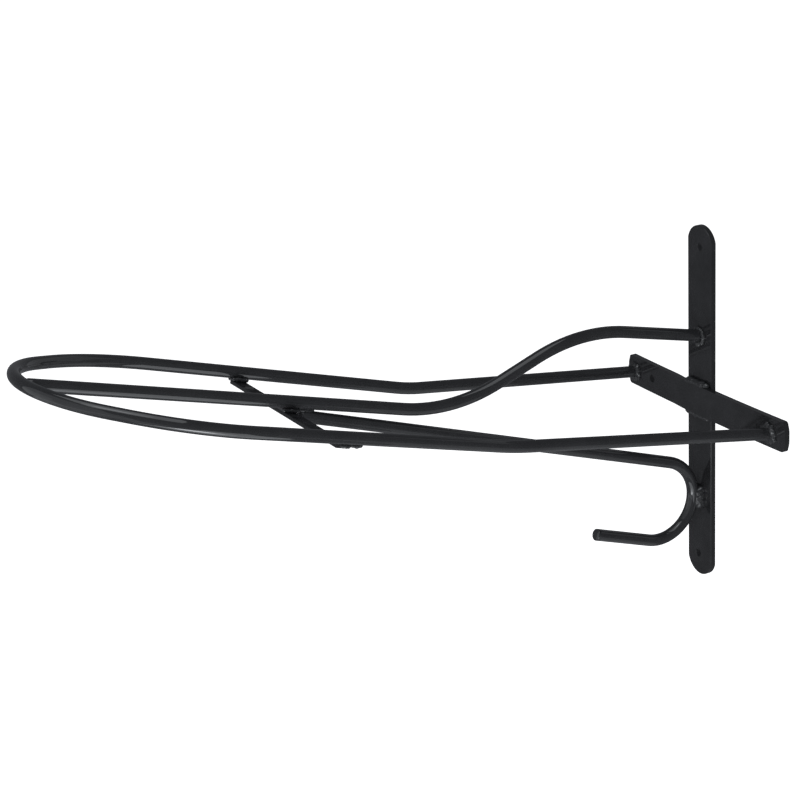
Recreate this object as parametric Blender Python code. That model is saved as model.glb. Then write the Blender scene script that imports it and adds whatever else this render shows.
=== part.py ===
"""Wall-mounted saddle rack, welded from round bar and flat bar.

Frame: the origin lies on the back of the wall plate, at the height of the cross
plate. The wall is the plane y = 0, the arm reaches out along -Y, +Z is up, and
the ridge rod and the bridle hook lie in the plane x = 0.
"""
import math

import bmesh
import bpy
from mathutils import Matrix, Vector

MM = 0.001

# Stock
ROD_DIAMETER = 10.7 * MM
ROD_RADIUS = ROD_DIAMETER / 2
BAR_THICKNESS = 5.0 * MM
EDGE_ROUNDING = 0.5 * MM
GAP = 0.3 * MM

# Wall plate: upright flat bar with domed ends
WALL_PLATE_WIDTH = 33.5 * MM
WALL_PLATE_TOP = 157.3 * MM
WALL_PLATE_BOTTOM = -165.9 * MM
WALL_PLATE_DOME = 13.0 * MM
WALL_HOLES = {"top": (0.0, 138.5 * MM), "bottom": (-2.0 * MM, -146.4 * MM)}
HOLE_DIAMETER = 7.0 * MM

# Cross plate: level flat bar across the front of the wall plate, its far wing bent back a little
CROSS_PLATE_LENGTH = 227.7 * MM
CROSS_PLATE_HEIGHT = 26.8 * MM
CROSS_PLATE_CENTRE = (12.3 * MM, 1.1 * MM)
CROSS_SWEEP_RADIUS = 4.67
CROSS_CORNER_RADIUS = 3.0 * MM
CROSS_END_BULGE = 1.5 * MM
CROSS_HOLE_SPACING = 155.2 * MM
FAR_STAND_OFF = 4.4 * MM
NEAR_STAND_OFF = BAR_THICKNESS + GAP
STEP_INNER = -17.0 * MM
STEP_OUTER = -34.0 * MM

# Seat loop: one bar bent to a long U, as (half width, reach, height) points
LOOP_END_HALF_SPACING = 98.7 * MM
LOOP_END_CENTRE = 6.9 * MM
LOOP_END_HEIGHT = 1.0 * MM
KINK_HALF_WIDTH = 86.0 * MM
KINK_REACH = 248.3 * MM
KINK_HEIGHT = 36.3 * MM
KINK_RADIUS = 151.0 * MM
SIDE_HALF_WIDTH = 98.15 * MM
SIDE_REACH = 480.3 * MM
SHOULDER_RADIUS = 167.6 * MM
SHOULDER_TURN = math.radians(30.2)
NOSE_REACH = 624.1 * MM
NOSE_HEIGHT = 144.6 * MM
SEAT_SLOPE = (NOSE_HEIGHT - KINK_HEIGHT) / (NOSE_REACH - KINK_REACH)
SEAT_TILT = math.atan(SEAT_SLOPE)

# Ridge rod, in the plane x = 0
RIDGE_PLATE_HEIGHT = 58.6 * MM
RIDGE_CREST = (128.0 * MM, 88.0 * MM)
RIDGE_DIP = (255.0 * MM, 41.8 * MM)
RIDGE_CREST_RADIUS = 154.0 * MM
RIDGE_DIP_RADIUS = 151.0 * MM
RIDGE_DROP = 1.1 * MM

# Support rod and bridle hook, in the plane x = 0
SUPPORT_START = (395.5 * MM, 69.1 * MM)
HOOK_RADIUS = 36.0 * MM
HOOK_REACH = 12.75 * MM
HOOK_HEIGHT = -86.1 * MM
HOOK_TIP_REACH = 116.0 * MM

# Cross strip under the three rods
STRIP_REACH = 402.3 * MM
STRIP_WIDTH = 12.5 * MM
STRIP_THICKNESS = 3.0 * MM
STRIP_LENGTH = 184.0 * MM
STRIP_CENTRE = -2.0 * MM
STRIP_DROP = ROD_RADIUS + RIDGE_DROP + GAP

# Weld beads
COLLAR_LEG = 3.6 * MM
SEAM_RADIUS = 2.2 * MM
HOOK_SEAM = (-84.5 * MM, -97.5 * MM)
HOOK_SEAM_RADIUS = 1.9 * MM
STRIP_SEAM_HALF = 5.0 * MM
STRIP_SEAM_RADIUS = 1.8 * MM
RIPPLED = 1.15

# Mesh fineness
ARC_STEP = math.radians(7.5)
ROD_SIDES_RESOLUTION = 4
COLLAR_STEPS = 20
HOLE_SIDES = 24
BEAD_RIPPLE = 2.6 * MM
STEP_SPANS = 6
WING_SPANS = 4
NEAR_SPANS = 9


def seat_height(reach):
    """Height of the sloping seat plane at a distance from the wall."""
    return KINK_HEIGHT + SEAT_SLOPE * (reach - KINK_REACH)


def paint_material(name, shade, roughness):
    material = bpy.data.materials.new(name)
    material.use_nodes = True
    shader = material.node_tree.nodes["Principled BSDF"]
    shader.inputs["Base Color"].default_value = (shade, shade, shade * 1.08, 1.0)
    shader.inputs["Roughness"].default_value = roughness
    shader.inputs["Metallic"].default_value = 0.0
    return material


def add_object(name, data, material):
    obj = bpy.data.objects.new(name, data)
    bpy.context.scene.collection.objects.link(obj)
    data.materials.append(material)
    return obj


def mesh_from(name, bm):
    bmesh.ops.recalc_face_normals(bm, faces=bm.faces)
    mesh = bpy.data.meshes.new(name)
    bm.to_mesh(mesh)
    bm.free()
    return mesh


def smooth_round(mesh):
    mesh.shade_smooth()
    mesh.set_sharp_from_angle(angle=math.radians(40))


def arc_points(centre, radius, start, end):
    """Points of a flat arc, as 2-D vectors, at angles from start to end."""
    steps = max(2, math.ceil(abs(end - start) / ARC_STEP))
    angles = [start + (end - start) * k / steps for k in range(steps + 1)]
    return [centre + radius * Vector((math.cos(a), math.sin(a))) for a in angles]


def rounded_path(corners, radii):
    """A path through corner points, with an arc of the given radius at each bend."""
    path = [corners[0]]
    for before, corner, after, radius in zip(corners, corners[1:], corners[2:], radii):
        to_before = (before - corner).normalized()
        to_after = (after - corner).normalized()
        half = to_before.angle(to_after) / 2
        centre = corner + (to_before + to_after).normalized() * radius / math.sin(half)
        first = corner + to_before * radius / math.tan(half) - centre
        last = corner + to_after * radius / math.tan(half) - centre
        turn = math.pi - 2 * half
        steps = max(2, math.ceil(turn / ARC_STEP))
        side = (last - first.normalized() * last.dot(first.normalized())).normalized()
        for k in range(steps + 1):
            angle = turn * k / steps
            path.append(centre + radius * (math.cos(angle) * first.normalized() + math.sin(angle) * side))
    path.append(corners[-1])
    return path


def rod(name, path, material):
    """A round bar bent along a path, with flat cut ends."""
    curve = bpy.data.curves.new(name, "CURVE")
    curve.dimensions = "3D"
    curve.twist_mode = "MINIMUM"
    curve.bevel_depth = ROD_RADIUS
    curve.bevel_resolution = ROD_SIDES_RESOLUTION
    curve.use_fill_caps = True
    spline = curve.splines.new("POLY")
    spline.points.add(len(path) - 1)
    for point, place in zip(spline.points, path):
        point.co = (*place, 1.0)
    spline.use_smooth = True
    return add_object(name, curve, material)


def cut_hole(plate, label, x, z):
    """A screw hole straight through a plate, along Y."""
    bm = bmesh.new()
    bmesh.ops.create_cone(
        bm, cap_ends=True, segments=HOLE_SIDES, depth=6 * BAR_THICKNESS,
        radius1=HOLE_DIAMETER / 2, radius2=HOLE_DIAMETER / 2,
        matrix=Matrix.Translation((x, 0.0, z)) @ Matrix.Rotation(math.radians(90), 4, "X"))
    name = f"{plate.name}_{label}_hole_cutter"
    cutter = bpy.data.objects.new(name, mesh_from(name, bm))
    bpy.context.scene.collection.objects.link(cutter)
    cutter.display_type = "WIRE"
    cutter.hide_render = True
    boolean = plate.modifiers.new("screw_hole", "BOOLEAN")
    boolean.operation = "DIFFERENCE"
    boolean.object = cutter


def round_edges(obj):
    bevel = obj.modifiers.new("rounded_edges", "BEVEL")
    bevel.width = EDGE_ROUNDING
    bevel.segments = 2
    bevel.limit_method = "ANGLE"
    bevel.angle_limit = math.radians(50)


def dome_outline(half_width, top, dome):
    """The arc over one end of a bar, from its right side to its left."""
    radius = (half_width ** 2 + dome ** 2) / (2 * dome)
    centre = Vector((0.0, top - radius))
    start = math.asin((radius - dome) / radius)
    return arc_points(centre, radius, start, math.pi - start)


def wall_plate(material):
    half = WALL_PLATE_WIDTH / 2
    upper = dome_outline(half, WALL_PLATE_TOP, WALL_PLATE_DOME)
    lower = [-p for p in dome_outline(half, -WALL_PLATE_BOTTOM, WALL_PLATE_DOME)]
    bm = bmesh.new()
    back = bm.faces.new([bm.verts.new((p.x, 0.0, p.y)) for p in upper + lower])
    grown = bmesh.ops.extrude_face_region(bm, geom=[back])["geom"]
    front_points = [item for item in grown if isinstance(item, bmesh.types.BMVert)]
    bmesh.ops.translate(bm, verts=front_points, vec=(0.0, -BAR_THICKNESS, 0.0))
    plate = add_object("wall_plate", mesh_from("wall_plate", bm), material)
    for label, (x, z) in WALL_HOLES.items():
        cut_hole(plate, label, x, z)
    round_edges(plate)
    return plate


def step_out(x):
    """How far the back of the cross plate stands out from the wall at a place along it."""
    share = min(1.0, max(0.0, (x - STEP_OUTER) / (STEP_INNER - STEP_OUTER)))
    return FAR_STAND_OFF + (NEAR_STAND_OFF - FAR_STAND_OFF) * (3 * share ** 2 - 2 * share ** 3)


def cross_rise(x):
    """How far the bar's slight sweep lifts it at a place along it."""
    return x ** 2 / (2 * CROSS_SWEEP_RADIUS)


def cross_half_height(inset):
    """Half height of the cross plate at a distance in from its end."""
    half = CROSS_PLATE_HEIGHT / 2
    if inset >= CROSS_END_BULGE + CROSS_CORNER_RADIUS:
        return half
    corner_share = max(0.0, (inset - CROSS_END_BULGE) / CROSS_CORNER_RADIUS)
    flat = half - CROSS_CORNER_RADIUS
    if inset <= CROSS_END_BULGE:
        return flat * (0.35 + 0.65 * math.sqrt(inset / CROSS_END_BULGE))
    return flat + CROSS_CORNER_RADIUS * math.sqrt(1 - (1 - corner_share) ** 2)


def cross_plate(material):
    half = CROSS_PLATE_LENGTH / 2
    centre_x, centre_z = CROSS_PLATE_CENTRE
    end_insets = [CROSS_END_BULGE * k / 3 for k in range(4)]
    corner_angles = [math.radians(90) * k / 5 for k in range(1, 6)]
    end_insets += [CROSS_END_BULGE + CROSS_CORNER_RADIUS * (1 - math.cos(a)) for a in corner_angles]
    step_places = [STEP_OUTER + (STEP_INNER - STEP_OUTER) * k / STEP_SPANS for k in range(STEP_SPANS + 1)]
    places = [centre_x - half + inset for inset in end_insets]
    wing_ends = (centre_x - half + end_insets[-1], centre_x + half - end_insets[-1])
    places += [wing_ends[0] + (STEP_OUTER - wing_ends[0]) * k / WING_SPANS for k in range(1, WING_SPANS)]
    places += step_places
    places += [STEP_INNER + (wing_ends[1] - STEP_INNER) * k / NEAR_SPANS for k in range(1, NEAR_SPANS)]
    places += [centre_x + half - inset for inset in reversed(end_insets)]
    bm = bmesh.new()
    rings = []
    for x in places:
        height = cross_half_height(half - abs(x - centre_x))
        back = -step_out(x)
        front = back - BAR_THICKNESS
        corners = ((front, height), (front, -height), (back, -height), (back, height))
        rings.append([bm.verts.new((x, y, centre_z + cross_rise(x) + z)) for y, z in corners])
    for ring, following in zip(rings, rings[1:]):
        for k in range(4):
            bm.faces.new((ring[k], ring[(k + 1) % 4], following[(k + 1) % 4], following[k]))
    bm.faces.new(rings[0])
    bm.faces.new(reversed(rings[-1]))
    plate = add_object("cross_plate", mesh_from("cross_plate", bm), material)
    for label, side in (("far", -1), ("near", 1)):
        x = centre_x + side * CROSS_HOLE_SPACING / 2
        cut_hole(plate, label, x, centre_z + cross_rise(x))
    round_edges(plate)
    return plate


def loop_side_outline():
    """One side of the loop seen from above, from its kink to the nose, as (half width, reach)."""
    taper = math.atan2(KINK_HALF_WIDTH - SIDE_HALF_WIDTH, SIDE_REACH - KINK_REACH)
    shoulder_centre = Vector((SIDE_HALF_WIDTH, SIDE_REACH))
    shoulder_centre -= SHOULDER_RADIUS * Vector((math.cos(taper), math.sin(taper)))
    shoulder = arc_points(shoulder_centre, SHOULDER_RADIUS, taper, SHOULDER_TURN)
    last = shoulder[-1]
    sine, cosine = math.sin(SHOULDER_TURN), math.cos(SHOULDER_TURN)
    spare = NOSE_REACH - last.y - last.x * (1 - sine) / cosine
    straight = spare / (cosine - sine * (1 - sine) / cosine)
    nose_start = last + straight * Vector((-sine, cosine))
    nose_radius = nose_start.x / cosine
    nose_centre = Vector((0.0, NOSE_REACH - nose_radius))
    nose = arc_points(nose_centre, nose_radius, SHOULDER_TURN, math.radians(90))
    return [Vector((KINK_HALF_WIDTH, KINK_REACH))] + shoulder + nose


def loop_side_path(side):
    """Half of the seat loop, from the cross plate to the nose."""
    outline = loop_side_outline()
    seat = [Vector((side * p.x, -p.y, seat_height(p.y))) for p in outline]
    end_x = side * LOOP_END_HALF_SPACING + LOOP_END_CENTRE
    end_reach = step_out(end_x) + BAR_THICKNESS + GAP + ROD_RADIUS * SEAT_SLOPE
    end = Vector((end_x, -end_reach, LOOP_END_HEIGHT))
    return rounded_path([end, seat[0], seat[1]], [KINK_RADIUS])[:-1] + seat[1:]


def seat_loop(material):
    near = loop_side_path(1)
    far = loop_side_path(-1)
    return rod("seat_loop", near + far[-2::-1], material)


def ridge_path():
    nose_end = NOSE_REACH - ROD_RADIUS - 2 * GAP
    corners = [
        Vector((0.0, -(BAR_THICKNESS + GAP + ROD_RADIUS * SEAT_SLOPE), RIDGE_PLATE_HEIGHT)),
        Vector((0.0, -RIDGE_CREST[0], RIDGE_CREST[1])),
        Vector((0.0, -RIDGE_DIP[0], RIDGE_DIP[1])),
        Vector((0.0, -nose_end, seat_height(nose_end) - RIDGE_DROP)),
    ]
    return rounded_path(corners, [RIDGE_CREST_RADIUS, RIDGE_DIP_RADIUS])


def support_path():
    """From the cross strip down to the hook bend, round it, and out to the tip."""
    centre = Vector((-(HOOK_REACH + HOOK_RADIUS), HOOK_HEIGHT))
    start = Vector((-SUPPORT_START[0], SUPPORT_START[1]))
    to_centre = centre - start
    slope = math.atan2(to_centre.y, to_centre.x) + math.asin(HOOK_RADIUS / to_centre.length)
    bend = arc_points(centre, HOOK_RADIUS, math.radians(90) + slope, slope - math.radians(90))
    leave = Vector((-math.cos(slope), -math.sin(slope)))
    tip_run = (HOOK_TIP_REACH + bend[-1].x) / math.cos(slope)
    flat_path = [start] + bend + [bend[-1] + leave * tip_run]
    return [Vector((0.0, p.x, p.y)) for p in flat_path]


def support_hook_rod(material):
    """The support rod, ground away where its top lies against the ridge rod."""
    curved = rod("support_hook_rod", support_path(), material)
    solid = bpy.data.meshes.new_from_object(curved)
    bpy.data.objects.remove(curved, do_unlink=True)
    support = add_object("support_hook_rod", solid, material)
    clearance = rod("support_hook_rod_cope_cutter", ridge_path(), material)
    clearance.data.bevel_depth = ROD_RADIUS + GAP
    cutter_mesh = bpy.data.meshes.new_from_object(clearance)
    bpy.data.objects.remove(clearance, do_unlink=True)
    cutter = bpy.data.objects.new("support_hook_rod_cope_cutter", cutter_mesh)
    bpy.context.scene.collection.objects.link(cutter)
    cutter.display_type = "WIRE"
    cutter.hide_render = True
    boolean = support.modifiers.new("cope", "BOOLEAN")
    boolean.operation = "DIFFERENCE"
    boolean.object = cutter
    return support


def cross_strip(material):
    """Flat strip under the rods, lying in the slope of the seat."""
    bm = bmesh.new()
    size = Matrix.Diagonal((STRIP_LENGTH, STRIP_WIDTH, STRIP_THICKNESS, 1.0))
    bmesh.ops.create_cube(bm, size=1.0, matrix=size)
    strip = add_object("cross_strip", mesh_from("cross_strip", bm), material)
    strip.location = seat_point(STRIP_CENTRE, STRIP_REACH, -STRIP_DROP - STRIP_THICKNESS / 2)
    strip.rotation_euler.x = -SEAT_TILT
    round_edges(strip)
    return strip


def seat_point(x, reach, lift):
    """A point beside the seat plane, lifted square to it."""
    across = Vector((0.0, math.sin(SEAT_TILT), math.cos(SEAT_TILT)))
    return Vector((x, -reach, seat_height(reach))) + lift * across


def weld_collar(name, place, axis, material):
    """A ring of weld round the end of a rod."""
    bore = ROD_RADIUS + 3 * GAP
    base = 2 * GAP
    section = [(0.0, base), (COLLAR_LEG, base), (0.8 * COLLAR_LEG, 0.45 * COLLAR_LEG),
               (0.4 * COLLAR_LEG, 0.85 * COLLAR_LEG), (0.0, COLLAR_LEG)]
    bm = bmesh.new()
    rings = []
    for step in range(COLLAR_STEPS):
        angle = 2 * math.pi * step / COLLAR_STEPS
        swell = 1.0 + 0.15 * math.sin(3 * angle) + 0.1 * math.sin(7 * angle)
        direction = Vector((math.cos(angle), math.sin(angle), 0.0))
        rings.append([bm.verts.new(direction * (bore + r * swell) + Vector((0.0, 0.0, h * swell)))
                      for r, h in section])
    for ring, following in zip(rings, rings[1:] + rings[:1]):
        for k in range(len(section)):
            after = (k + 1) % len(section)
            bm.faces.new((ring[k], ring[after], following[after], following[k]))
    turn = axis.to_track_quat("Z", "X").to_matrix().to_4x4()
    bmesh.ops.transform(bm, matrix=Matrix.Translation(place) @ turn, verts=bm.verts)
    mesh = mesh_from(name, bm)
    smooth_round(mesh)
    return add_object(name, mesh, material)


def weld_bead(name, start, end, radius, material):
    """A straight run of weld with rounded ends and a rippled surface."""
    run = end - start
    rings = max(6, math.ceil(run.length / BEAD_RIPPLE) * 4)
    bm = bmesh.new()
    bmesh.ops.create_uvsphere(bm, u_segments=14, v_segments=rings, radius=radius)
    for vert in bm.verts:
        along = vert.co.z / radius
        swell = 1.0 + 0.14 * math.cos(2 * math.pi * along * run.length / (2 * BEAD_RIPPLE))
        fullness = math.sqrt(1.0 - along ** 4) if abs(along) < 0.999 else 0.0
        level = math.hypot(vert.co.x, vert.co.y)
        if level > 0:
            vert.co.x *= radius * fullness * swell / level
            vert.co.y *= radius * fullness * swell / level
        vert.co.z = along * (run.length / 2 + radius)
    turn = run.to_track_quat("Z", "X").to_matrix().to_4x4()
    place = Matrix.Translation((start + end) / 2)
    bmesh.ops.transform(bm, matrix=place @ turn, verts=bm.verts)
    mesh = mesh_from(name, bm)
    smooth_round(mesh)
    return add_object(name, mesh, material)


def plate_welds(material):
    """Welds that join the rods and the cross plate to the wall plate."""
    outward = Vector((0.0, -1.0, 0.0))
    for name, side in (("weld_loop_far", -1), ("weld_loop_near", 1)):
        x = side * LOOP_END_HALF_SPACING + LOOP_END_CENTRE
        place = Vector((x, -step_out(x) - BAR_THICKNESS, LOOP_END_HEIGHT))
        weld_collar(name, place, outward, material)
    ridge_place = Vector((0.0, -BAR_THICKNESS, RIDGE_PLATE_HEIGHT))
    weld_collar("weld_ridge_plate", ridge_place, outward, material)
    run = WALL_PLATE_WIDTH / 2 - 2 * SEAM_RADIUS
    reach = BAR_THICKNESS + GAP + RIPPLED * SEAM_RADIUS
    for name, side in (("weld_cross_top", 1), ("weld_cross_bottom", -1)):
        z = CROSS_PLATE_CENTRE[1] + side * (CROSS_PLATE_HEIGHT / 2 + GAP + RIPPLED * SEAM_RADIUS)
        weld_bead(name, Vector((-run, -reach, z)), Vector((run, -reach, z)), SEAM_RADIUS, material)
    reach = BAR_THICKNESS + GAP + RIPPLED * HOOK_SEAM_RADIUS
    for name, side in (("weld_hook_far", -1), ("weld_hook_near", 1)):
        x = side * (ROD_RADIUS + 0.2 * HOOK_SEAM_RADIUS)
        top, bottom = (Vector((x, -reach, z)) for z in HOOK_SEAM)
        weld_bead(name, bottom, top, HOOK_SEAM_RADIUS, material)


def strip_welds(material):
    """Welds that join the cross strip to the loop and the ridge rod."""
    share = (STRIP_REACH - KINK_REACH) / (SIDE_REACH - KINK_REACH)
    side_x = KINK_HALF_WIDTH + share * (SIDE_HALF_WIDTH - KINK_HALF_WIDTH)
    beside = ROD_RADIUS + 0.6 * STRIP_SEAM_RADIUS
    over_strip = -STRIP_DROP + GAP + RIPPLED * STRIP_SEAM_RADIUS
    under_rod = -ROD_RADIUS - GAP - RIPPLED * STRIP_SEAM_RADIUS
    places = {"weld_strip_far": (-side_x + beside, over_strip),
              "weld_strip_ridge": (beside, over_strip),
              "weld_strip_near": (side_x - 0.8 * STRIP_SEAM_RADIUS, under_rod)}
    for name, (x, lift) in places.items():
        start = seat_point(x, STRIP_REACH - STRIP_SEAM_HALF, lift)
        end = seat_point(x, STRIP_REACH + STRIP_SEAM_HALF, lift)
        weld_bead(name, start, end, STRIP_SEAM_RADIUS, material)


def main():
    for obj in list(bpy.data.objects):
        bpy.data.objects.remove(obj, do_unlink=True)
    paint = paint_material("black_gloss_paint", 0.022, 0.28)
    weld_paint = paint_material("black_gloss_paint_on_weld", 0.03, 0.35)
    wall_plate(paint)
    cross_plate(paint)
    seat_loop(paint)
    rod("ridge_rod", ridge_path(), paint)
    support_hook_rod(paint)
    cross_strip(paint)
    plate_welds(weld_paint)
    strip_welds(weld_paint)


main()
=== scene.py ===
"""Looks for the saddle rack: smooth gloss-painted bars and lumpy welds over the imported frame."""
import math
import random

import bmesh
import bpy
from mathutils import Matrix, Vector, noise


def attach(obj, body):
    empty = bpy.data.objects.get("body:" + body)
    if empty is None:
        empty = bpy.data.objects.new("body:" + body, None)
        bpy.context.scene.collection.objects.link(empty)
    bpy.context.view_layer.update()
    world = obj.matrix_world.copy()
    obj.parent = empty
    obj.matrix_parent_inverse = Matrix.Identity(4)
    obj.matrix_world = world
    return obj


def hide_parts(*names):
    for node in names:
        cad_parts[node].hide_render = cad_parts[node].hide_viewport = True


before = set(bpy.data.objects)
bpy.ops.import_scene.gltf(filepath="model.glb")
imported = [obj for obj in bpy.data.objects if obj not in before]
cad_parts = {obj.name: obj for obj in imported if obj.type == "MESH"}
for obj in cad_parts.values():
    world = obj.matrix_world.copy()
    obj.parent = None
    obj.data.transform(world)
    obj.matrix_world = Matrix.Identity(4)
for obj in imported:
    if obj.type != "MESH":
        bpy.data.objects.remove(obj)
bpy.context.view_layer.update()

MM = 0.001
ROD_RADIUS = 5.25 * MM
ROD_EDGE = 0.7 * MM
ROD_END_GAP = 0.2 * MM
PLATE = 5.0 * MM

# Seat loop, as in the CAD. A pair is (x, reach from the wall), and KINK adds the height.
LOOP_END_HALF = 98.7 * MM
LOOP_END_CENTRE = 6.9 * MM
LOOP_END_Z = 1.0 * MM
KINK = (86.0 * MM, 248.3 * MM, 36.3 * MM)
KINK_RADIUS = 151.0 * MM
SIDE = (98.15 * MM, 480.3 * MM)
SHOULDER_RADIUS = 167.6 * MM
SHOULDER_TURN = math.radians(30.2)
NOSE_REACH = 624.1 * MM
NOSE_Z = 144.6 * MM
SLOPE = (NOSE_Z - KINK[2]) / (NOSE_REACH - KINK[1])
TILT = math.atan(SLOPE)

# Ridge, support and hook. A crest or dip is (reach, height, bend radius).
RIDGE_PLATE_Z = 58.6 * MM
RIDGE_CREST = (128.0 * MM, 88.0 * MM, 154.0 * MM)
RIDGE_DIP = (255.0 * MM, 41.8 * MM, 151.0 * MM)
RIDGE_DROP = 1.1 * MM
RIDGE_TIP_SINK = 0.6 * MM
SUPPORT_START = (395.5 * MM, 69.1 * MM)
HOOK_RADIUS = 36.0 * MM
HOOK_REACH = 12.75 * MM
HOOK_Z = -86.1 * MM
HOOK_TIP = 116.0 * MM

# Flat bars. A hole is (x, z) in the wall plate, and the step is where the cross plate's far wing bends.
WALL_HALF = 16.75 * MM
WALL_TOP = 157.3 * MM
WALL_BOTTOM = -165.9 * MM
DOME = 13.0 * MM
WALL_HOLES = ((0.0, 138.5 * MM), (-2.0 * MM, -146.4 * MM))
HOLE_RADIUS = 3.35 * MM
CROSS_HALF = 113.85 * MM
CROSS_X = 12.3 * MM
CROSS_Z = 1.1 * MM
CROSS_HALF_HEIGHT = 13.4 * MM
CROSS_CORNER = 3.0 * MM
CROSS_BULGE = 1.5 * MM
CROSS_END_FLAT = 0.35
CROSS_HOLE_HALF = 77.6 * MM
CROSS_BOW_RADIUS = 4.67
FAR_OFF = 4.4 * MM
NEAR_OFF = 5.3 * MM
STEP_INNER = -17.0 * MM
STEP_OUTER = -34.0 * MM
STRIP_REACH = 402.3 * MM
STRIP_SIZE = (184.0 * MM, 12.5 * MM, 3.0 * MM)
STRIP_X = -2.0 * MM
STRIP_DROP = 6.73 * MM

# How finely round shapes are cut up
ARC_STEP = math.radians(2.5)
DOME_STEP = math.radians(4)
ROD_SPACING = 4.0 * MM
ROD_SIDES = 40
HOLE_SIDES = 40
SHARP_ANGLE = 40
ROD_SHARP_ANGLE = 45
BULGE_STATIONS = 6
CORNER_STATIONS = 10
FAR_STATIONS = 12
STEP_STATIONS = 20
NEAR_STATIONS = 24

# Hand-made unevenness. Waves are per metre, but COARSE_WAVES is a share of WELD_WAVES. Sizes and
# pitches are shares of the drop's radius, and COLLAR_TURN is in radians.
ROD_WAVES = 55
ROD_WOBBLE = 0.02 * MM
WELD_WAVES = 900
COARSE_WAVES = 0.45
COARSE_SHARE, FINE_SHARE = 0.6, 0.4
WAVES_PER_SEED = 3.7
WELD_VOXEL = 0.4 * MM
DROP_STRETCH = (0.88, 1.12)
RUN_SIZES = (0.82, 1.18)
RUN_PITCH = 0.8
COLLAR_SIZES = (0.8, 1.2)
COLLAR_PITCH = 0.75
COLLAR_TURN = (-0.08, 0.08)
COLLAR_RADIAL = (-0.5 * MM, 0.6 * MM)
COLLAR_DEPTH = (-0.5 * MM, 0.3 * MM)
NEXT_ROW_SEED = 20


def seat_z(reach):
    """Height of the sloping seat plane."""
    return KINK[2] + SLOPE * (reach - KINK[1])


def seat_point(x, reach, lift):
    """A point `lift` square to the seat plane from the place at x and reach."""
    return Vector((x, -reach + lift * math.sin(TILT), seat_z(reach) + lift * math.cos(TILT)))


def plate_point(x, out, z):
    """A point in front of the plates, `out` from the wall plate's front face, all in mm."""
    return Vector((x * MM, -PLATE - out * MM, z * MM))


# ---------------------------------------------------------------- meshes and paths
def finish_mesh(bm, name, sharp=SHARP_ANGLE):
    """The bmesh as a smooth-shaded mesh with sharp edges above an angle in degrees."""
    bmesh.ops.recalc_face_normals(bm, faces=bm.faces)
    mesh = bpy.data.meshes.new(name)
    bm.to_mesh(mesh)
    bm.free()
    mesh.shade_smooth()
    mesh.set_sharp_from_angle(angle=math.radians(sharp))
    return mesh


def place_object(name, data):
    """A new object in the scene."""
    obj = bpy.data.objects.new(name, data)
    bpy.context.scene.collection.objects.link(obj)
    return obj


def applied(obj):
    """The object's mesh with its modifiers applied."""
    bpy.context.view_layer.update()
    return bpy.data.meshes.new_from_object(obj.evaluated_get(bpy.context.evaluated_depsgraph_get()))


def arc(centre, radius, start, end, step=ARC_STEP):
    """Points along a flat arc, both ends included."""
    n = max(3, math.ceil(abs(end - start) / step))
    angles = [start + (end - start) * k / n for k in range(n + 1)]
    return [centre + radius * Vector((math.cos(a), math.sin(a))) for a in angles]


def bend(corners, radii):
    """The corners joined by straights, each inner corner rounded to its own radius."""
    path = [corners[0]]
    for before, corner, after, radius in zip(corners, corners[1:], corners[2:], radii):
        a, b = (before - corner).normalized(), (after - corner).normalized()
        half = a.angle(b) / 2
        centre = corner + (a + b).normalized() * radius / math.sin(half)
        first = (corner + a * radius / math.tan(half) - centre).normalized()
        last = (corner + b * radius / math.tan(half) - centre).normalized()
        side = (last - first * last.dot(first)).normalized()
        turn = math.pi - 2 * half
        n = max(4, math.ceil(turn / ARC_STEP))
        path += [centre + radius * (math.cos(turn * k / n) * first + math.sin(turn * k / n) * side)
                 for k in range(n + 1)]
    return path + [corners[-1]]


def resample(path):
    """Adds points on long straight runs, so that small waves in the bar can show."""
    out = [path[0]]
    for a, b in zip(path, path[1:]):
        n = max(1, round((b - a).length / ROD_SPACING))
        out += [a.lerp(b, (k + 1) / n) for k in range(n)]
    return out


def spread(start, end, count):
    """Evenly spaced values, both ends included."""
    return [start + (end - start) * k / count for k in range(count + 1)]


def skin(bm, rings):
    """Quads between neighbouring closed rings of the same length."""
    for a, b in zip(rings, rings[1:]):
        for k in range(len(a)):
            after = (k + 1) % len(a)
            bm.faces.new((a[k], a[after], b[after], b[k]))


def cap_end(bm, ring, flip):
    """A fan of triangles over a ring."""
    centre = bm.verts.new(sum((v.co for v in ring), Vector()) / len(ring))
    for k in range(len(ring)):
        face = (ring[k], ring[(k + 1) % len(ring)], centre)
        bm.faces.new(face[::-1] if flip else face)


# ---------------------------------------------------------------- round bars
def rod_ring(bm, centre, tangent, normal, radius, seed):
    """One ring of a bar's surface, a little uneven."""
    side = tangent.cross(normal)
    ring = []
    for k in range(ROD_SIDES):
        a = 2 * math.pi * k / ROD_SIDES
        out = math.cos(a) * normal + math.sin(a) * side
        point = centre + out * radius
        wave = noise.noise(point * ROD_WAVES + Vector((seed, 0, 0))) * ROD_WOBBLE
        ring.append(bm.verts.new(point + out * wave))
    return ring


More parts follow.
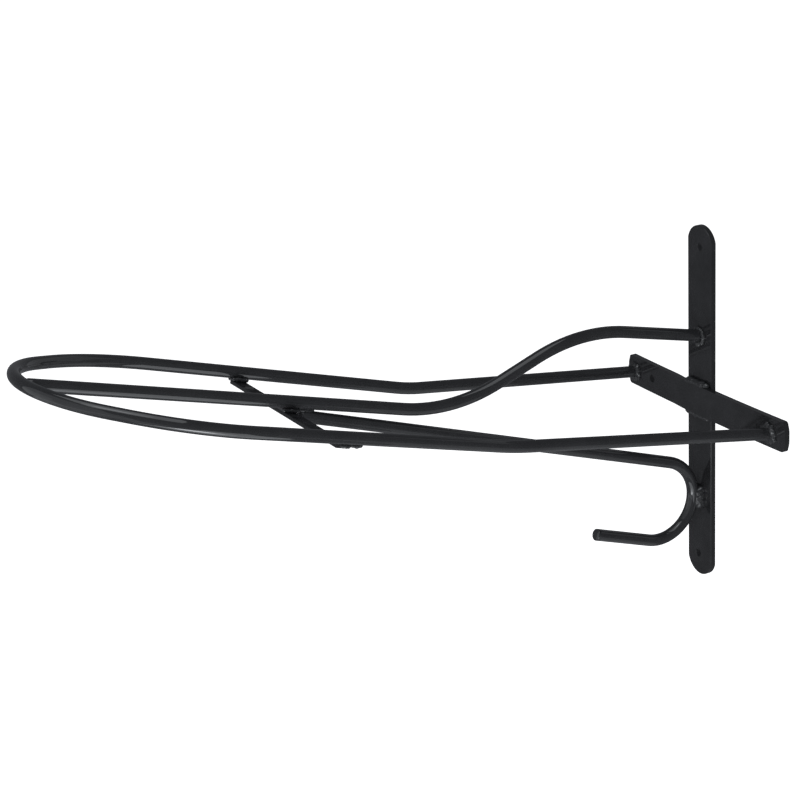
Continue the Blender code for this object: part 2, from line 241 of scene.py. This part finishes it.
def rod_mesh(path, seed):
    """A round bar swept along a path, with softly rounded cut ends."""
    path = resample(path)
    neighbours = zip(path[:1] + path, path[1:] + path[-1:])
    tangents = [(after - before).normalized() for before, after in neighbours]
    # How far in from the end, and how far below the full radius, as shares of ROD_EDGE
    rounding = ((0.0, 1.0), (0.3, 0.45), (0.65, 0.12), (1.0, 0.0))
    end_rings = [(inset, ROD_RADIUS * (1 - loss * ROD_EDGE / ROD_RADIUS)) for inset, loss in rounding]
    bm = bmesh.new()
    rings = []
    normal = tangents[0].orthogonal().normalized()
    for k, (point, tangent) in enumerate(zip(path, tangents)):
        normal = (normal - tangent * normal.dot(tangent)).normalized()
        stations = [(0.0, ROD_RADIUS)]
        if k == 0:
            stations = end_rings
        elif k == len(path) - 1:
            stations = [(-inset, radius) for inset, radius in reversed(end_rings)]
        rings += [rod_ring(bm, point + tangent * ROD_EDGE * inset, tangent, normal, radius, seed)
                  for inset, radius in stations]
    skin(bm, rings)
    cap_end(bm, rings[0], True)
    cap_end(bm, rings[-1], False)
    return finish_mesh(bm, "bar", ROD_SHARP_ANGLE)


def loop_outline():
    """One side of the seat loop as (x, reach): kink, straight side, shoulder, straight and nose."""
    taper = math.atan2(KINK[0] - SIDE[0], SIDE[1] - KINK[1])
    centre = Vector(SIDE) - SHOULDER_RADIUS * Vector((math.cos(taper), math.sin(taper)))
    shoulder = arc(centre, SHOULDER_RADIUS, taper, SHOULDER_TURN)
    last = shoulder[-1]
    s, c = math.sin(SHOULDER_TURN), math.cos(SHOULDER_TURN)
    spare = NOSE_REACH - last.y - last.x * (1 - s) / c
    straight = spare / (c - s * (1 - s) / c)
    nose_start = last + straight * Vector((-s, c))
    radius = nose_start.x / c
    nose = arc(Vector((0.0, NOSE_REACH - radius)), radius, SHOULDER_TURN, math.radians(90))
    return [Vector(KINK[:2])] + shoulder + nose


def loop_end_x(side):
    """Where the loop meets the cross plate on one side."""
    return side * LOOP_END_HALF + LOOP_END_CENTRE


def loop_path():
    """The whole loop, from its near end round the nose to its far end."""
    halves = []
    for side in (1, -1):
        seat = [Vector((side * p.x, -p.y, seat_z(p.y))) for p in loop_outline()]
        x = loop_end_x(side)
        end = Vector((x, -step_out(x) - PLATE - ROD_END_GAP, LOOP_END_Z))
        halves.append(bend([end, seat[0], seat[1]], [KINK_RADIUS])[:-1] + seat[1:])
    return halves[0] + halves[1][-2::-1]


def ridge_path():
    """From the wall plate over the crest, through the dip and up to the nose."""
    end = NOSE_REACH - ROD_RADIUS + RIDGE_TIP_SINK
    return bend([Vector((0, -PLATE - ROD_END_GAP, RIDGE_PLATE_Z)),
                 Vector((0, -RIDGE_CREST[0], RIDGE_CREST[1])),
                 Vector((0, -RIDGE_DIP[0], RIDGE_DIP[1])),
                 Vector((0, -end, seat_z(end) - RIDGE_DROP))], [RIDGE_CREST[2], RIDGE_DIP[2]])


def support_path():
    """Straight from the strip to the wall plate, then round the hook and out to its tip."""
    centre = Vector((-(HOOK_REACH + HOOK_RADIUS), HOOK_Z))
    start = Vector((-SUPPORT_START[0], SUPPORT_START[1]))
    to = centre - start
    slope = math.atan2(to.y, to.x) + math.asin(HOOK_RADIUS / to.length)
    turn = arc(centre, HOOK_RADIUS, math.radians(90) + slope, slope - math.radians(90))
    leave = Vector((-math.cos(slope), -math.sin(slope)))
    run = (HOOK_TIP + turn[-1].x) / math.cos(slope)
    return [Vector((0, p.x, p.y)) for p in [start] + turn + [turn[-1] + leave * run]]


# ---------------------------------------------------------------- flat bars
def soften(obj, width):
    """Rounds the piece's edges, as worn paint does."""
    bevel = obj.modifiers.new("worn_edges", "BEVEL")
    bevel.width = width
    bevel.segments = 3
    bevel.limit_method = "ANGLE"
    bevel.angle_limit = math.radians(35)
    bevel.harden_normals = True


def drill(mesh, holes):
    """The mesh with round holes cut along Y."""
    blank = place_object("blank", mesh)
    cutters = []
    for x, z in holes:
        bm = bmesh.new()
        place = Matrix.Translation((x, 0, z)) @ Matrix.Rotation(math.radians(90), 4, "X")
        bmesh.ops.create_cone(bm, cap_ends=True, segments=HOLE_SIDES, depth=6 * PLATE,
                              radius1=HOLE_RADIUS, radius2=HOLE_RADIUS, matrix=place)
        cutters.append(place_object("drill", finish_mesh(bm, "drill")))
        cut = blank.modifiers.new("hole", "BOOLEAN")
        cut.operation, cut.object, cut.solver = "DIFFERENCE", cutters[-1], "EXACT"
    drilled = applied(blank)
    for obj in [blank] + cutters:
        bpy.data.objects.remove(obj, do_unlink=True)
    drilled.shade_smooth()
    drilled.set_sharp_from_angle(angle=math.radians(SHARP_ANGLE))
    return drilled


def wall_plate_mesh():
    """The upright flat bar with domed ends and two screw holes."""
    radius = (WALL_HALF ** 2 + DOME ** 2) / (2 * DOME)
    start = math.asin((radius - DOME) / radius)
    upper = arc(Vector((0, WALL_TOP - radius)), radius, start, math.pi - start, DOME_STEP)
    under = arc(Vector((0, -WALL_BOTTOM - radius)), radius, start, math.pi - start, DOME_STEP)
    lower = [-p for p in under]
    bm = bmesh.new()
    face = bm.faces.new([bm.verts.new((p.x, 0, p.y)) for p in upper + lower])
    grown = bmesh.ops.extrude_face_region(bm, geom=[face])["geom"]
    front = [item for item in grown if isinstance(item, bmesh.types.BMVert)]
    bmesh.ops.translate(bm, verts=front, vec=(0, -PLATE, 0))
    return drill(finish_mesh(bm, "wall_plate_look"), WALL_HOLES)


def step_out(x):
    """How far the cross plate's back stands off the wall, easing from the far wing to the rest."""
    s = min(1.0, max(0.0, (x - STEP_OUTER) / (STEP_INNER - STEP_OUTER)))
    return FAR_OFF + (NEAR_OFF - FAR_OFF) * (3 * s ** 2 - 2 * s ** 3)


def cross_rise(x):
    """How far the bowed cross plate rises from its middle."""
    return x ** 2 / (2 * CROSS_BOW_RADIUS)


def cross_half_height(inset):
    """Half the cross plate's height at a distance in from its end."""
    flat = CROSS_HALF_HEIGHT - CROSS_CORNER
    if inset >= CROSS_BULGE + CROSS_CORNER:
        return CROSS_HALF_HEIGHT
    if inset <= CROSS_BULGE:
        return flat * (CROSS_END_FLAT + (1 - CROSS_END_FLAT) * math.sqrt(inset / CROSS_BULGE))
    share = (inset - CROSS_BULGE) / CROSS_CORNER
    return flat + CROSS_CORNER * math.sqrt(1 - (1 - share) ** 2)


def cross_stations():
    """The x of every section of the cross plate, closest where its outline turns."""
    ends = [CROSS_BULGE * (k / BULGE_STATIONS) ** 2 for k in range(BULGE_STATIONS + 1)]
    ends += [CROSS_BULGE + CROSS_CORNER * (1 - math.cos(math.radians(90 / CORNER_STATIONS * k)))
             for k in range(1, CORNER_STATIONS + 1)]
    far, near = CROSS_X - CROSS_HALF, CROSS_X + CROSS_HALF
    return ([far + e for e in ends]
            + spread(far + ends[-1], STEP_OUTER, FAR_STATIONS)[1:-1]
            + spread(STEP_OUTER, STEP_INNER, STEP_STATIONS)
            + spread(STEP_INNER, near - ends[-1], NEAR_STATIONS)[1:-1]
            + [near - e for e in reversed(ends)])


def cross_plate_mesh():
    """The level flat bar with a stepped back, softly square ends and two screw holes."""
    bm = bmesh.new()
    rings = []
    for x in cross_stations():
        half = cross_half_height(CROSS_HALF - abs(x - CROSS_X))
        back = -step_out(x)
        section = ((back - PLATE, half), (back - PLATE, -half), (back, -half), (back, half))
        rings.append([bm.verts.new((x, y, CROSS_Z + cross_rise(x) + z)) for y, z in section])
    skin(bm, rings)
    bm.faces.new(rings[0])
    bm.faces.new(rings[-1][::-1])
    holes = [(x, CROSS_Z + cross_rise(x)) for x in (CROSS_X - CROSS_HOLE_HALF, CROSS_X + CROSS_HOLE_HALF)]
    return drill(finish_mesh(bm, "cross_plate_look"), holes)


def strip_mesh():
    """The thin strip under the loop, tilted with the seat."""
    bm = bmesh.new()
    bmesh.ops.create_cube(bm, size=1.0, matrix=Matrix.Diagonal((*STRIP_SIZE, 1.0)))
    place = seat_point(STRIP_X, STRIP_REACH, -STRIP_DROP - STRIP_SIZE[2] / 2)
    tilted = Matrix.Translation(place) @ Matrix.Rotation(-TILT, 4, "X")
    bmesh.ops.transform(bm, matrix=tilted, verts=bm.verts)
    return finish_mesh(bm, "strip_look")


# ---------------------------------------------------------------- welds
def weld_mesh(drops, seed, rough=0.3 * MM, eased=12):
    """Weld metal run out of overlapping drops (place, radius), fused, eased and roughened."""
    rng = random.Random(seed)
    bm = bmesh.new()
    for place, radius in drops:
        size = Matrix.Diagonal((*(radius * rng.uniform(*DROP_STRETCH) for _ in range(3)), 1.0))
        bmesh.ops.create_icosphere(bm, subdivisions=3, radius=1.0, matrix=Matrix.Translation(place) @ size)
    blob = place_object("drops", finish_mesh(bm, "drops"))
    fuse = blob.modifiers.new("fuse", "REMESH")
    fuse.mode, fuse.voxel_size = "VOXEL", WELD_VOXEL
    ease = blob.modifiers.new("ease", "SMOOTH")
    ease.factor, ease.iterations = 0.5, eased
    mesh = applied(blob)
    bpy.data.objects.remove(blob, do_unlink=True)
    shift = Vector((seed * WAVES_PER_SEED, 0, 0))
    for v in mesh.vertices:
        fine = v.co * WELD_WAVES + shift
        lump = COARSE_SHARE * noise.noise(fine * COARSE_WAVES) + FINE_SHARE * noise.noise(fine)
        v.co += v.normal * rough * lump
    mesh.shade_smooth()
    return mesh


def ring_of_drops(centre, radius, drop, seed):
    """Drops round a bar that ends on a plate, in the plane square to Y."""
    rng = random.Random(seed)
    count = round(2 * math.pi * radius / (COLLAR_PITCH * drop))
    drops = []
    for k in range(count):
        a = 2 * math.pi * k / count + rng.uniform(*COLLAR_TURN)
        r = radius + rng.uniform(*COLLAR_RADIAL)
        size = drop * rng.uniform(*COLLAR_SIZES)
        depth = rng.uniform(*COLLAR_DEPTH)
        drops.append((centre + Vector((math.cos(a) * r, depth, math.sin(a) * r)), size))
    return drops


def collar(centre, rows, seed):
    """Drops round a rod end; each row is (ring radius, drop radius, distance from the plate), in mm."""
    drops = []
    for k, (ring, drop, out) in enumerate(rows):
        middle = centre - Vector((0, out * MM, 0))
        drops += ring_of_drops(middle, ring * MM, drop * MM, seed + NEXT_ROW_SEED * k)
    return drops


def lumps_round(centre, lumps):
    """Single big drops; each is (x, distance from the plate, z, radius) in mm from a centre."""
    return [(centre + Vector((x, -out, z)) * MM, radius * MM) for x, out, z, radius in lumps]


def run_of_drops(start, end, drop, seed, scatter, pitch=RUN_PITCH):
    """Drops along a line, one every `pitch` drop radii, each scattered a little."""
    rng = random.Random(seed)
    n = max(2, round((end - start).length / (pitch * drop)))
    return [(start.lerp(end, k / n) + Vector([rng.uniform(-scatter, scatter) for _ in range(3)]),
             drop * rng.uniform(*RUN_SIZES)) for k in range(n + 1)]


def loop_weld(side, seed, lumps):
    """The weld round one end of the seat loop."""
    x = loop_end_x(side)
    centre = Vector((x, -step_out(x) - PLATE, LOOP_END_Z))
    drops = collar(centre, ((6.8, 2.2, 0.3), (5.5, 1.9, 1.5)), seed) + lumps_round(centre, lumps)
    return weld_mesh(drops, seed, rough=0.4 * MM, eased=8)


def ridge_weld(seed, lumps):
    """The weld round the ridge rod's end on the wall plate."""
    centre = Vector((0, -PLATE, RIDGE_PLATE_Z))
    drops = collar(centre, ((6.3, 2.0, 0.6),), seed) + lumps_round(centre, lumps)
    return weld_mesh(drops, seed, rough=0.4 * MM, eased=6)


def cross_weld(edge, seed, runs):
    """Two runs along an edge; a run is (x start, x end, out, above the edge, drop, scatter) in mm."""
    drops = []
    for k, (first, last, out, above, drop, scatter) in enumerate(runs):
        start, end = (Vector((x * MM, -PLATE - out * MM, edge + above * MM)) for x in (first, last))
        drops += run_of_drops(start, end, drop * MM, seed + NEXT_ROW_SEED * k, scatter * MM)
    return weld_mesh(drops, seed)


def hook_weld(side, seed):
    """Three stacked runs beside the hook's back, packed close so that they fuse to a smooth bead."""
    drops = []
    for x, out, top, bottom, drop in HOOK_RUNS:
        start, end = (plate_point(side * x, out, z) for z in (top, bottom))
        drops += run_of_drops(start, end, drop * MM, seed, 0.12 * MM, pitch=0.3)
    return weld_mesh(drops, seed, rough=0.08 * MM, eased=22)


def strip_weld(seed, seams):
    """Seams on the strip; each is (start, end, drop), an end being (x, reach, lift), all in mm."""
    drops = []
    for start, end, drop in seams:
        a, b = (seat_point(x * MM, reach * MM, lift * MM) for x, reach, lift in (start, end))
        drops += run_of_drops(a, b, drop * MM, seed, 0.3 * MM)
    return weld_mesh(drops, seed, rough=0.2 * MM)


# ---------------------------------------------------------------- paint
# Noise is (waves per metre, detail, roughness)
CLOUDS = (60, 4, 0.55)
HAZE = (130, 5, 0.6)
PEEL = (420, 3, 0.5)
DUST_WAVES = 210
DUST_SIZE = (0.02, 0.1)
DUST_RARITY = 0.93
NIB_STRENGTH = 0.2
BUMP_HEIGHT = 0.4 * MM


def noise_node(tree, coords, scale, detail, rough):
    """Cloudy noise over the object's own space; returns its height output."""
    node = tree.nodes.new("ShaderNodeTexNoise")
    node.inputs["Scale"].default_value = scale
    node.inputs["Detail"].default_value = detail
    node.inputs["Roughness"].default_value = rough
    tree.links.new(coords, node.inputs["Vector"])
    return node.outputs["Fac"]


def tone_ramp(tree, source, dark, light):
    """A colour between two tones."""
    node = tree.nodes.new("ShaderNodeValToRGB")
    for stop, place, tone in zip(node.color_ramp.elements, (0.3, 0.72), (dark, light)):
        stop.position = place
        stop.color = (*tone, 1.0)
    tree.links.new(source, node.inputs["Fac"])
    return node.outputs["Color"]


def remap(tree, source, span, target):
    """A value stretched from one range to another."""
    node = tree.nodes.new("ShaderNodeMapRange")
    node.inputs["From Min"].default_value, node.inputs["From Max"].default_value = span
    node.inputs["To Min"].default_value, node.inputs["To Max"].default_value = target
    tree.links.new(source, node.inputs["Value"])
    return node.outputs["Result"]


def bump(tree, height, strength):
    """A bump node over a height."""
    node = tree.nodes.new("ShaderNodeBump")
    node.inputs["Strength"].default_value = strength
    node.inputs["Distance"].default_value = BUMP_HEIGHT
    tree.links.new(height, node.inputs["Height"])
    return node


def dust_nibs(tree, coords):
    """Height of small specks, on about one cell in fourteen."""
    dust = tree.nodes.new("ShaderNodeTexVoronoi")
    dust.inputs["Scale"].default_value = DUST_WAVES
    tree.links.new(coords, dust.inputs["Vector"])
    speck = remap(tree, dust.outputs["Distance"], DUST_SIZE, (1.0, 0.0))
    pick = tree.nodes.new("ShaderNodeMath")
    pick.operation = "GREATER_THAN"
    pick.inputs[1].default_value = DUST_RARITY
    split = tree.nodes.new("ShaderNodeSeparateColor")
    tree.links.new(dust.outputs["Color"], split.inputs["Color"])
    tree.links.new(split.outputs["Red"], pick.inputs[0])
    some = tree.nodes.new("ShaderNodeMath")
    some.operation = "MULTIPLY"
    tree.links.new(speck, some.inputs[0])
    tree.links.new(pick.outputs["Value"], some.inputs[1])
    return some.outputs["Value"]


def paint(name, base, rough, orange_peel, mottle=0.12):
    """Gloss black paint: faint mottling, uneven gloss, orange peel and dust nibs."""
    material = bpy.data.materials.new(name)
    material.use_nodes = True
    tree = material.node_tree
    bsdf = tree.nodes["Principled BSDF"]
    bsdf.inputs["IOR"].default_value = 1.5
    coords = tree.nodes.new("ShaderNodeTexCoord").outputs["Object"]
    dark, light = (tuple(c * share for c in base) for share in (1 - mottle, 1 + mottle))
    tone = tone_ramp(tree, noise_node(tree, coords, *CLOUDS), dark, light)
    tree.links.new(tone, bsdf.inputs["Base Color"])
    haze = remap(tree, noise_node(tree, coords, *HAZE), (0.3, 0.7), rough)
    tree.links.new(haze, bsdf.inputs["Roughness"])
    peel = bump(tree, noise_node(tree, coords, *PEEL), orange_peel)
    nibs = bump(tree, dust_nibs(tree, coords), NIB_STRENGTH)
    tree.links.new(peel.outputs["Normal"], nibs.inputs["Normal"])
    tree.links.new(nibs.outputs["Normal"], bsdf.inputs["Normal"])
    return material


# ---------------------------------------------------------------- the rack
PAINT_BLACK = (0.0145, 0.0147, 0.0157)
PLATE_BLACK = (0.0108, 0.0109, 0.0117)
LOOP_FAR_LUMPS = ((1, 0.6, 7.2, 1.8), (-4.5, 1.0, 6.0, 1.7), (5.6, 0.5, -4.2, 1.9))
LOOP_NEAR_LUMPS = ((-2, 0.8, 8.2, 2.2), (4, 0.6, 7.4, 1.8), (7.4, 0.4, -3.8, 2.0), (-6, 0.5, -6.5, 2.1))
RIDGE_LUMPS = ((-5, 1.0, -5, 2.6), (0, 1.4, -7.4, 2.8), (5, 1.0, -5.2, 2.4), (-6.6, 0.9, 1.5, 2.2))
CROSS_TOP_RUNS = ((-13.5, 13.5, 2.0, 1.2, 2.6, 0.4), (-14, 9, 3.8, 0.6, 1.9, 0.3))
CROSS_BOTTOM_RUNS = ((-14, 14, 2.2, -1.2, 2.7, 0.3), (-14, 13, 3.6, -0.8, 1.8, 0.3))
# Each hook run is (x, out, top, bottom, drop), in mm
HOOK_RUNS = ((3.2, 0.8, -83.5, -99, 3.2), (2.8, 2.6, -84.5, -97.5, 3.4), (2.4, 4.4, -85.5, -96.5, 3.6))
STRIP_FAR_SEAMS = (((-89.0, 408.0, -5.0), (-89.0, 397.0, -5.0), 1.9),
                   ((-92.6, 409.5, -5.4), (-92.6, 396, -5.4), 2.0))
STRIP_RIDGE_SEAMS = (((2.2, 408.0, -5.2), (2.2, 396.0, -4.9), 1.9),
                     ((0.4, 407.0, -4.9), (0.4, 383.0, -4.3), 2.2))
STRIP_NEAR_SEAMS = (((93.0, 405.5, -7.0), (93.0, 389.5, -5.8), 1.9),)


def add(node, mesh, material):
    """The piece that stands for a CAD node."""
    mesh.materials.clear()
    mesh.materials.append(material)
    piece = place_object(node + "_look", mesh)
    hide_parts(node)
    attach(piece, "root")
    return piece


def add_bars():
    """The three round bars and the three flat ones."""
    bar_paint = paint("bar_paint", PAINT_BLACK, (0.025, 0.045), 0.01)
    plate_paint = paint("plate_paint", PLATE_BLACK, (0.055, 0.095), 0.012, mottle=0.2)
    add("seat_loop", rod_mesh(loop_path(), 1.0), bar_paint)
    add("ridge_rod", rod_mesh(ridge_path(), 7.0), bar_paint)
    add("support_hook_rod", rod_mesh(support_path(), 13.0), bar_paint)
    soften(add("wall_plate", wall_plate_mesh(), plate_paint), 0.45 * MM)
    soften(add("cross_plate", cross_plate_mesh(), plate_paint), 0.5 * MM)
    soften(add("cross_strip", strip_mesh(), plate_paint), 0.4 * MM)


def add_welds():
    """The ten weld beads."""
    weld_paint = paint("weld_paint", PAINT_BLACK, (0.08, 0.15), 0.02)
    top_edge, bottom_edge = CROSS_Z + CROSS_HALF_HEIGHT, CROSS_Z - CROSS_HALF_HEIGHT
    beads = {
        "weld_loop_far": loop_weld(-1, 3, LOOP_FAR_LUMPS),
        "weld_loop_near": loop_weld(1, 4, LOOP_NEAR_LUMPS),
        "weld_ridge_plate": ridge_weld(5, RIDGE_LUMPS),
        "weld_cross_top": cross_weld(top_edge, 6, CROSS_TOP_RUNS),
        "weld_cross_bottom": cross_weld(bottom_edge, 7, CROSS_BOTTOM_RUNS),
        "weld_hook_far": hook_weld(-1, 8),
        "weld_hook_near": hook_weld(1, 9),
        "weld_strip_far": strip_weld(10, STRIP_FAR_SEAMS),
        "weld_strip_ridge": strip_weld(11, STRIP_RIDGE_SEAMS),
        "weld_strip_near": strip_weld(12, STRIP_NEAR_SEAMS),
    }
    for node, mesh in beads.items():
        add(node, mesh, weld_paint)


# ---------------------------------------------------------------- studio
COOL = (0.93, 0.965, 1.0)
DOWN, UP, TO_WALL, FROM_WALL = (0, 0, -1), (0, 0, 1), (0, 1, 0), (0, -1, 0)
TO_RACK = (-1.4, 1.7, -1.5)
HIGH_TURN, LOW_TURN = -math.radians(15), -math.radians(17)
# Name, shape, place, direction, size, radiance, turn about the direction
LIGHTS = (
    ("overhead_softbox", "RECTANGLE", (0.38, -0.5, 1.6), DOWN, (1.7, 1.35), 1.4, HIGH_TURN),
    ("overhead_lamp", "DISK", (0.5, -0.65, 1.59), DOWN, (0.85, 0.85), 0.9, 0),
    ("overhead_core", "DISK", (0.5, -0.65, 1.58), DOWN, (0.4, 0.4), 1.7, 0),
    ("low_softbox", "RECTANGLE", (0.89, -0.39, -0.5), UP, (1.45, 0.62), 1.7, LOW_TURN),
    ("low_lamp_outer", "DISK", (0.56, -0.6, -0.488), UP, (0.5, 0.5), 1.2, 0),
    ("low_lamp_middle", "DISK", (0.56, -0.6, -0.476), UP, (0.34, 0.34), 2.4, 0),
    ("low_lamp_core", "DISK", (0.56, -0.6, -0.44), UP, (0.24, 0.24), 6.0, 0),
    ("low_strip", "RECTANGLE", (0.5, 0.1, -0.52), UP, (1.3, 0.32), 0.3, LOW_TURN),
    ("front_wall", "RECTANGLE", (0.5, -2.0, 0.6), TO_WALL, (3.8, 3.0), 0.42, 0),
    ("front_glow", "RECTANGLE", (-0.7, -1.99, -0.1), TO_WALL, (1.4, 1.4), 0.25, 0),
    ("front_floor", "RECTANGLE", (0.45, -1.6, -0.6), UP, (2.5, 1.2), 0.4, 0),
    ("back_wall", "RECTANGLE", (0.0, 2.0, 0.3), FROM_WALL, (2.6, 3.0), 0.22, 0),
    ("soft_fill", "RECTANGLE", (1.4, -1.9, 1.5), TO_RACK, (2.0, 2.0), 2.6, 0),
)
UNREFLECTED = "soft_fill"
FLOOR_Z = -0.75
FLOOR_SIZE = 60


def area_light(name, shape, place, direction, size, radiance, turn):
    """An area light of a given radiance, which the camera itself doesn't see."""
    data = bpy.data.lights.new(name, "AREA")
    data.shape = shape
    data.size, data.size_y = size
    area = size[0] * size[1] * (math.pi / 4 if shape == "DISK" else 1.0)
    data.energy = radiance * math.pi * area
    data.color = COOL
    light = place_object(name, data)
    aim = Vector(direction).to_track_quat("-Z", "Y").to_matrix().to_4x4()
    light.matrix_world = Matrix.Translation(place) @ aim @ Matrix.Rotation(turn, 4, "Z")
    light.visible_camera = False
    return light


def add_lights():
    """Lights that the paint reflects, and a fill that it doesn't."""
    for row in LIGHTS:
        light = area_light(*row)
        light.visible_glossy = light.name != UNREFLECTED


def add_floor():
    """A white floor well below the rack, kept out of its reflections."""
    bpy.ops.mesh.primitive_plane_add(size=FLOOR_SIZE, location=(0, 0, FLOOR_Z))
    floor = bpy.context.object
    floor.name = "floor"
    floor.visible_glossy = False
    material = bpy.data.materials.new("pale_floor")
    material.use_nodes = True
    bsdf = material.node_tree.nodes["Principled BSDF"]
    bsdf.inputs["Base Color"].default_value = (0.8, 0.8, 0.8, 1)
    bsdf.inputs["Roughness"].default_value = 0.9
    bsdf.inputs["Specular IOR Level"].default_value = 0.0
    bsdf.inputs["Emission Color"].default_value = (1, 1, 1, 1)
    bsdf.inputs["Emission Strength"].default_value = 1.0
    floor.data.materials.append(material)


def add_world():
    """White to the camera, and a dim cool grey to everything else."""
    world = bpy.data.worlds.new("studio")
    bpy.context.scene.world = world
    world.use_nodes = True
    tree = world.node_tree
    dim = tree.nodes["Background"]
    dim.inputs["Color"].default_value = (0.9, 0.93, 1.0, 1)
    dim.inputs["Strength"].default_value = 0.15
    white = tree.nodes.new("ShaderNodeBackground")
    white.inputs["Color"].default_value = (1, 1, 1, 1)
    white.inputs["Strength"].default_value = 1.0
    path = tree.nodes.new("ShaderNodeLightPath")
    mix = tree.nodes.new("ShaderNodeMixShader")
    tree.links.new(path.outputs["Is Camera Ray"], mix.inputs["Fac"])
    tree.links.new(dim.outputs["Background"], mix.inputs[1])
    tree.links.new(white.outputs["Background"], mix.inputs[2])
    tree.links.new(mix.outputs["Shader"], tree.nodes["World Output"].inputs["Surface"])


# ---------------------------------------------------------------- camera
CAMERA_PLACE = Vector((1.65302, -1.21459, 0.73718))
YAW, PITCH, ROLL = math.radians(61.47), math.radians(-19.64), math.radians(-2.63)
SENSOR_WIDTH = 36
FOCAL_LENGTH = 111.14595
LENS_SHIFT = (0.016475, -0.000275)


def add_camera():
    """The photo's camera; its focal length is in mm, and its shift is in picture widths."""
    forward = Vector((-math.sin(YAW) * math.cos(PITCH), math.cos(YAW) * math.cos(PITCH), math.sin(PITCH)))
    level = forward.cross(Vector((0, 0, 1))).normalized()
    above = level.cross(forward)
    right = level * math.cos(ROLL) + above * math.sin(ROLL)
    up = above * math.cos(ROLL) - level * math.sin(ROLL)
    data = bpy.data.cameras.new("camera")
    data.sensor_width = SENSOR_WIDTH
    data.lens = FOCAL_LENGTH
    data.shift_x, data.shift_y = LENS_SHIFT
    camera = place_object("camera", data)
    turned = Matrix((right, up, -forward)).transposed().to_4x4()
    camera.matrix_world = Matrix.Translation(CAMERA_PLACE) @ turned
    bpy.context.scene.camera = camera


add_bars()
add_welds()
add_lights()
add_floor()
add_world()
add_camera()
bpy.context.scene.view_settings.view_transform = "Standard"
